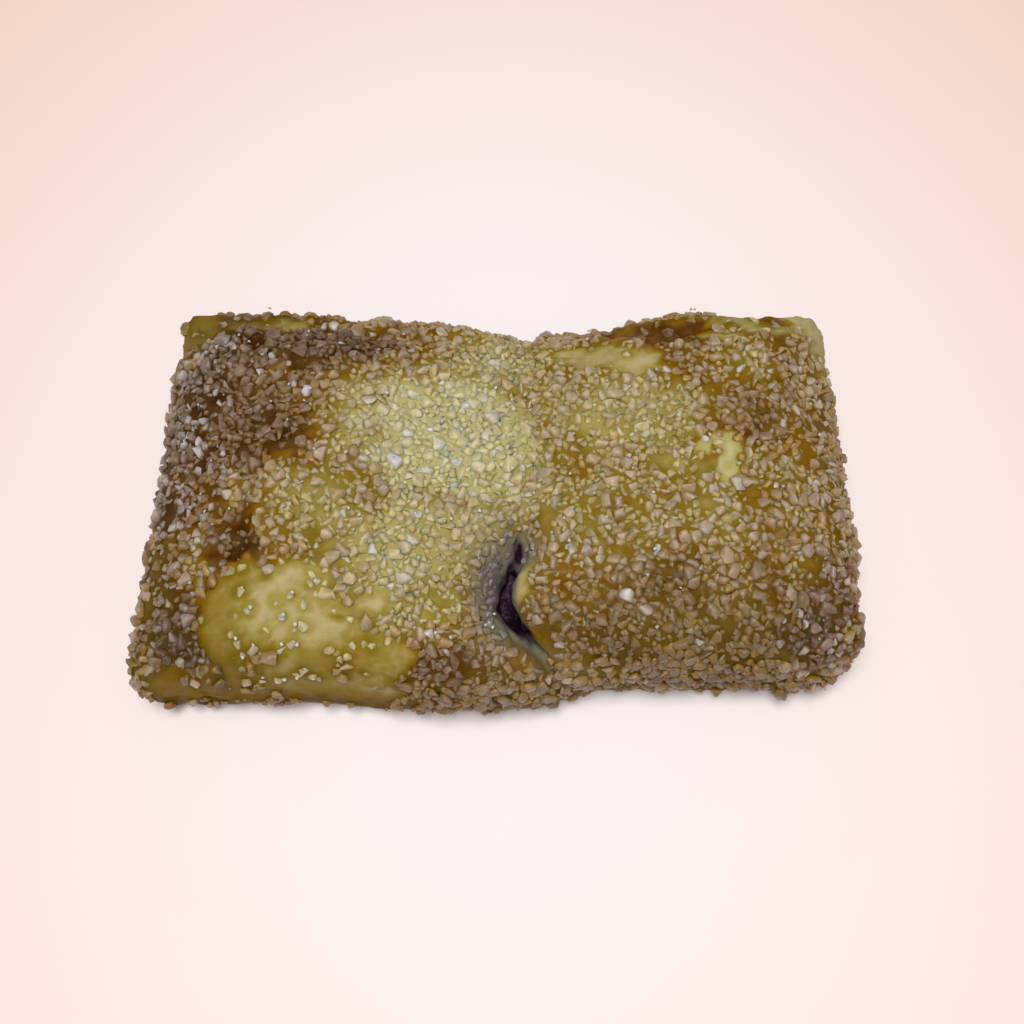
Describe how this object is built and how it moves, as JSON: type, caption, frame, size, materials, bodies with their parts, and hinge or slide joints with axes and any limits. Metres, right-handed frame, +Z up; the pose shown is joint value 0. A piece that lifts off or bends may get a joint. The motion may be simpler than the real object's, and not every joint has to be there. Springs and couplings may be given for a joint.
{
  "type": "puff pastry",
  "caption": "Oblong puff pastry pocket with coarse sugar on its crust and a seam across the top that gapes over a berry filling.",
  "frame": {"origin": "middle of the pocket's footprint, on the flat face that it rests on", "axes": "+X along the pocket, from the underlying left flap to the overlapping right flap; +Z up; the seam's gape is on the -Y half"},
  "size_m": [0.121, 0.0745, 0.0298],
  "materials": {
    "crust": "baked golden dough with a glaze and clear coarse sugar",
    "berry_filling": "wet dark purple jam"
  },
  "bodies": {
    "root": {"pastry": "crust", "filling": "berry_filling"}
  },
  "joints": []
}
